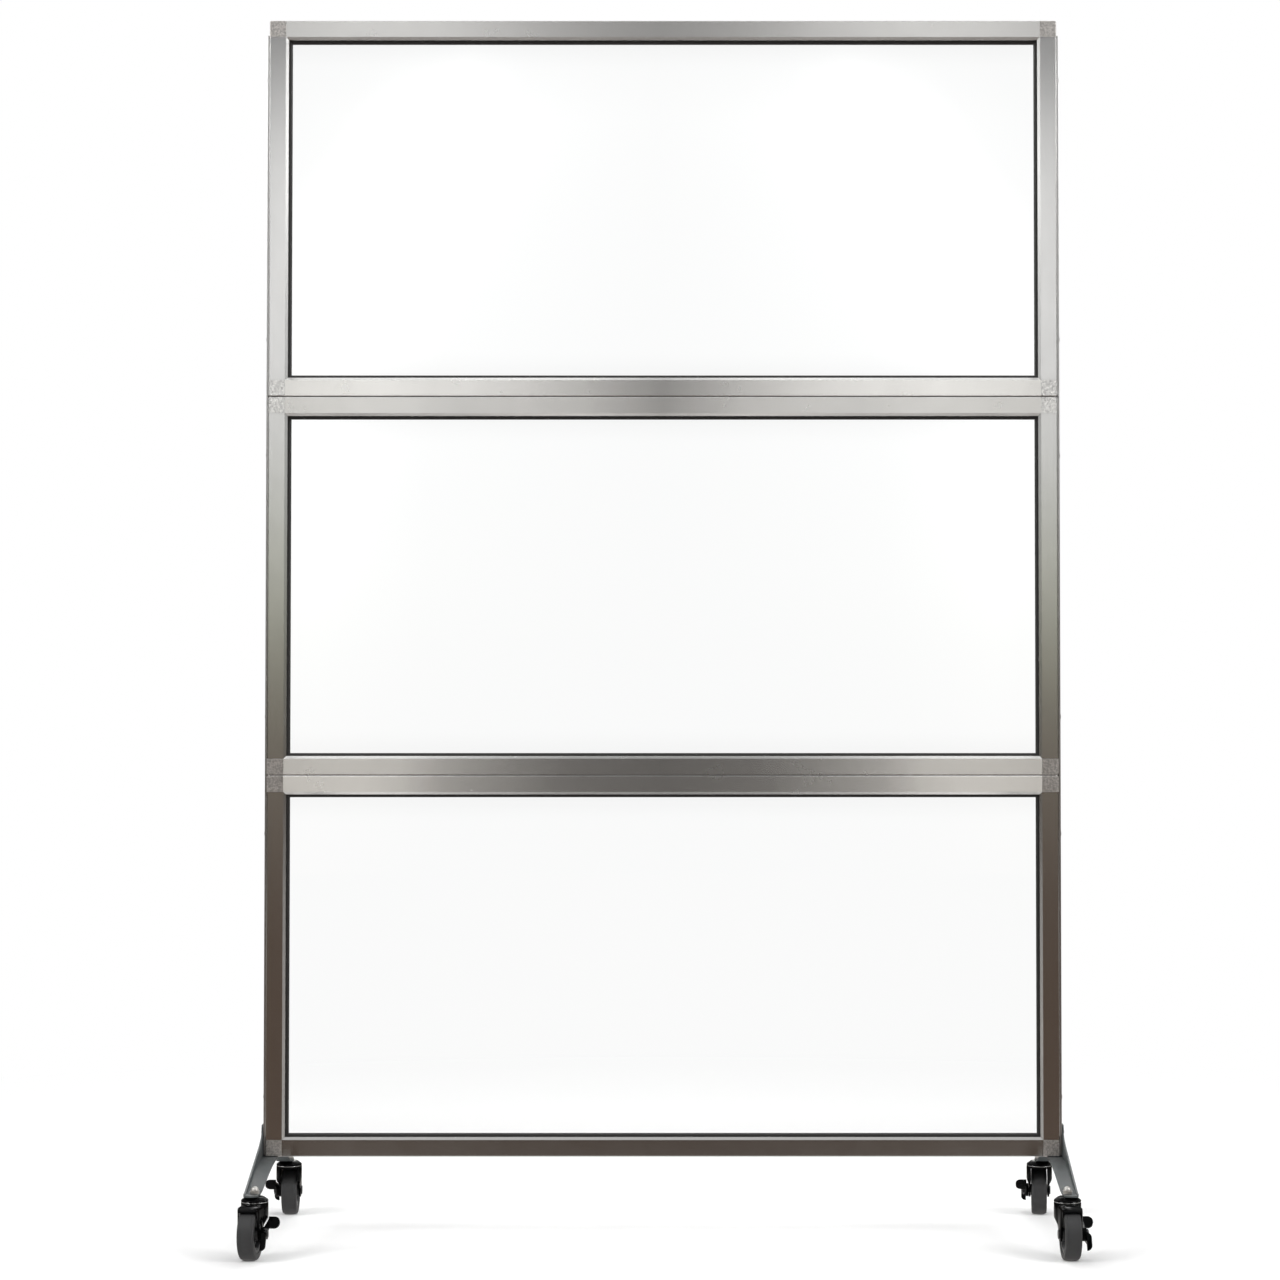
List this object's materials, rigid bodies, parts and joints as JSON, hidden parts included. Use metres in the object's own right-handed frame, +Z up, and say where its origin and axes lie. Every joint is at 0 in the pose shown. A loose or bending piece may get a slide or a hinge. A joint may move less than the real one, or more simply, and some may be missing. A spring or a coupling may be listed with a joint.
{
  "type": "portable medical divider",
  "caption": "Free-standing privacy divider: clear panels in stacked aluminium frames on two feet with locking swivel casters.",
  "frame": {"origin": "on the floor, under the middle of the divider's width and depth", "axes": "+X to the divider's right as seen from the front, +Y to the back, +Z up"},
  "size_m": [1.275, 0.5122, 1.8759],
  "materials": {
    "brushed_aluminium": "satin brushed along the tube",
    "connector_aluminium": "blasted, matt",
    "strap_aluminium": "satin",
    "clear_panel": "clear, polished",
    "gasket_rubber": "matt",
    "foot_paint": "satin grey powder coat",
    "caster_black": "gloss black",
    "plated_steel": "zinc plated",
    "wheel_hub": "moulded, matt",
    "wheel_tread": "matt dark grey"
  },
  "bodies": {
    "divider": {"lower_frame_left_stile": "brushed_aluminium", "lower_frame_bottom_rail": "brushed_aluminium", "lower_frame_right_stile": "brushed_aluminium", "lower_frame_top_rail": "brushed_aluminium", "lower_frame_bottom_left_connector": "connector_aluminium", "lower_frame_bottom_right_connector": "connector_aluminium", "lower_frame_top_right_connector": "connector_aluminium", "lower_frame_top_left_connector": "connector_aluminium", "lower_frame_gasket": "gasket_rubber", "lower_clear_panel": "clear_panel", "middle_frame_left_stile": "brushed_aluminium", "middle_frame_bottom_rail": "brushed_aluminium", "middle_frame_right_stile": "brushed_aluminium", "middle_frame_top_rail": "brushed_aluminium", "middle_frame_bottom_left_connector": "connector_aluminium", "middle_frame_bottom_right_connector": "connector_aluminium", "middle_frame_top_right_connector": "connector_aluminium", "middle_frame_top_left_connector": "connector_aluminium", "middle_frame_gasket": "gasket_rubber", "middle_clear_panel": "clear_panel", "upper_frame_left_stile": "brushed_aluminium", "upper_frame_bottom_rail": "brushed_aluminium", "upper_frame_right_stile": "brushed_aluminium", "upper_frame_top_rail": "brushed_aluminium", "upper_frame_bottom_left_connector": "connector_aluminium", "upper_frame_bottom_right_connector": "connector_aluminium", "upper_frame_top_right_connector": "connector_aluminium", "upper_frame_top_left_connector": "connector_aluminium", "upper_frame_gasket": "gasket_rubber", "upper_clear_panel": "clear_panel", "right_joining_strap": "strap_aluminium", "right_foot": "foot_paint", "left_joining_strap": "strap_aluminium", "left_foot": "foot_paint", "front_left_caster_head": "caster_black", "front_right_caster_head": "caster_black", "rear_right_caster_head": "caster_black", "rear_left_caster_head": "caster_black"},
    "front_left_swivel": {"front_left_caster_fork": "caster_black", "front_left_caster_axle": "plated_steel"},
    "front_left_wheel": {"front_left_wheel_hub": "wheel_hub", "front_left_wheel_tyre": "wheel_tread"},
    "front_left_brake": {"front_left_brake_pedal": "caster_black"},
    "front_right_swivel": {"front_right_caster_fork": "caster_black", "front_right_caster_axle": "plated_steel"},
    "front_right_wheel": {"front_right_wheel_hub": "wheel_hub", "front_right_wheel_tyre": "wheel_tread"},
    "front_right_brake": {"front_right_brake_pedal": "caster_black"},
    "rear_right_swivel": {"rear_right_caster_fork": "caster_black", "rear_right_caster_axle": "plated_steel"},
    "rear_right_wheel": {"rear_right_wheel_hub": "wheel_hub", "rear_right_wheel_tyre": "wheel_tread"},
    "rear_right_brake": {"rear_right_brake_pedal": "caster_black"},
    "rear_left_swivel": {"rear_left_caster_fork": "caster_black", "rear_left_caster_axle": "plated_steel"},
    "rear_left_wheel": {"rear_left_wheel_hub": "wheel_hub", "rear_left_wheel_tyre": "wheel_tread"},
    "rear_left_brake": {"rear_left_brake_pedal": "caster_black"}
  },
  "joints": [
    {"name": "front_left_swivel_turn", "type": "hinge", "parent": "divider", "child": "front_left_swivel", "pos_m": [-0.6, -0.19, 0.0816], "axis": [0, 0, 1], "continuous": true},
    {"name": "front_left_wheel_roll", "type": "hinge", "parent": "front_left_swivel", "child": "front_left_wheel", "pos_m": [-0.60244, -0.21789, 0.0375], "axis": [0.9962, -0.0872, 0], "continuous": true},
    {"name": "front_left_brake_press", "type": "hinge", "parent": "front_left_swivel", "child": "front_left_brake", "pos_m": [-0.60244, -0.21789, 0.0375], "axis": [-0.9962, 0.0872, 0], "range_deg": [0, 22]},
    {"name": "front_right_swivel_turn", "type": "hinge", "parent": "divider", "child": "front_right_swivel", "pos_m": [0.6, -0.19, 0.0816], "axis": [0, 0, 1], "continuous": true},
    {"name": "front_right_wheel_roll", "type": "hinge", "parent": "front_right_swivel", "child": "front_right_wheel", "pos_m": [0.60098, -0.21798, 0.0375], "axis": [0.9994, 0.0349, 0], "continuous": true},
    {"name": "front_right_brake_press", "type": "hinge", "parent": "front_right_swivel", "child": "front_right_brake", "pos_m": [0.60098, -0.21798, 0.0375], "axis": [-0.9994, -0.0349, 0], "range_deg": [0, 22]},
    {"name": "rear_right_swivel_turn", "type": "hinge", "parent": "divider", "child": "rear_right_swivel", "pos_m": [0.6, 0.19, 0.0816], "axis": [0, 0, 1], "continuous": true},
    {"name": "rear_right_wheel_roll", "type": "hinge", "parent": "rear_right_swivel", "child": "rear_right_wheel", "pos_m": [0.60244, 0.21789, 0.0375], "axis": [-0.9962, 0.0872, 0], "continuous": true},
    {"name": "rear_right_brake_press", "type": "hinge", "parent": "rear_right_swivel", "child": "rear_right_brake", "pos_m": [0.60244, 0.21789, 0.0375], "axis": [0.9962, -0.0872, 0], "range_deg": [0, 22]},
    {"name": "rear_left_swivel_turn", "type": "hinge", "parent": "divider", "child": "rear_left_swivel", "pos_m": [-0.6, 0.19, 0.0816], "axis": [0, 0, 1], "continuous": true},
    {"name": "rear_left_wheel_roll", "type": "hinge", "parent": "rear_left_swivel", "child": "rear_left_wheel", "pos_m": [-0.60098, 0.21798, 0.0375], "axis": [-0.9994, -0.0349, 0], "continuous": true},
    {"name": "rear_left_brake_press", "type": "hinge", "parent": "rear_left_swivel", "child": "rear_left_brake", "pos_m": [-0.60098, 0.21798, 0.0375], "axis": [0.9994, 0.0349, 0], "range_deg": [0, 22]}
  ]
}
